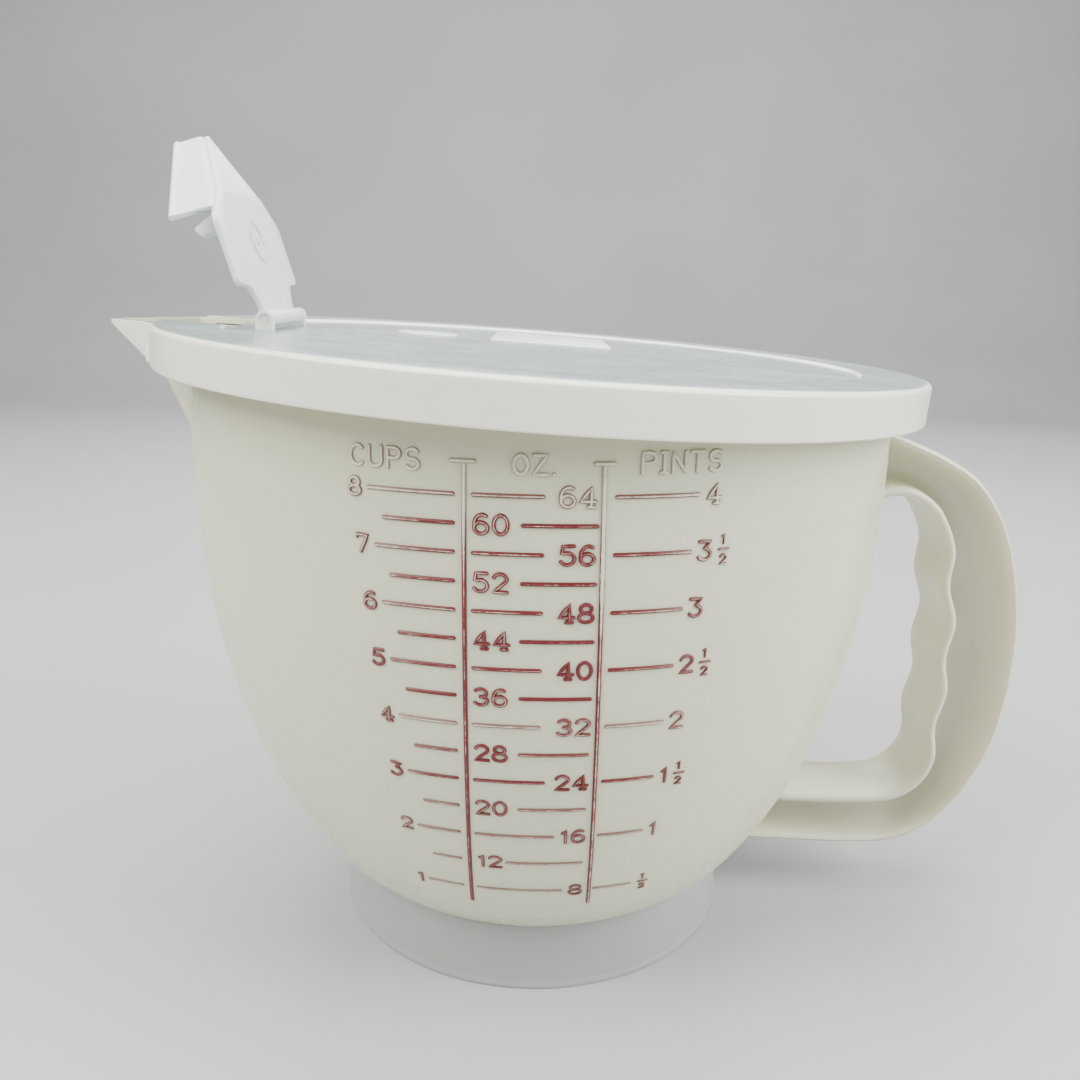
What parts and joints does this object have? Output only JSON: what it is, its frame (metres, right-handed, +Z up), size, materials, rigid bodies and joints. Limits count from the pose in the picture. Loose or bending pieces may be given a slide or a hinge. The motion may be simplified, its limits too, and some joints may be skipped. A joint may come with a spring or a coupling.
{
  "type": "covered measuring pitcher",
  "caption": "Round mixing and measuring pitcher with foot ring, finger-grip side handle, graduated side, sloping lift-off lid, pouring beak and hinged flip cap.",
  "frame": {"origin": "centre of the foot ring's standing edge, on the table", "axes": "+Z up; +X from the bowl's axis towards the handle, -X towards the pouring beak; -Y is the side that carries the graduations"},
  "size_m": [0.2309, 0.1812, 0.1935],
  "materials": {
    "bowl": "satin moulded polypropylene, slightly see-through",
    "foot": "satin moulded polypropylene",
    "ink": "worn red ink on raised marks",
    "lid": "satin moulded polyethylene, slightly see-through",
    "cap": "satin moulded polyethylene, slightly see-through"
  },
  "bodies": {
    "bowl": {"bowl_shell": "bowl", "bowl_rim": "bowl", "pour_spout": "bowl", "foot_ring": "foot", "handle_web": "bowl", "handle_palm_flange": "bowl", "handle_finger_flange": "bowl", "scale_rules": "ink", "cup_marks": "ink", "ounce_marks": "ink", "pint_marks": "ink"},
    "lid": {"lid_panel": "lid", "lid_skirt": "lid", "lid_seal_ring": "lid", "lid_beak": "lid", "lid_pads": "lid", "hinge_lug_left": "lid", "hinge_lug_right": "lid"},
    "cap": {"cap_plate": "cap", "cap_nose": "cap", "cap_plug": "cap", "cap_ring": "cap", "hinge_pin": "cap"}
  },
  "joints": [
    {"name": "lid_lift", "type": "slide", "parent": "bowl", "child": "lid", "axis": [0.0558, 0, 0.9984], "range_m": [0, 0.07]},
    {"name": "cap_hinge", "type": "hinge", "parent": "lid", "child": "cap", "pos_m": [-0.06398, 0, 0.15248], "axis": [0, 1, 0], "range_deg": [-68.3, 45]}
  ]
}
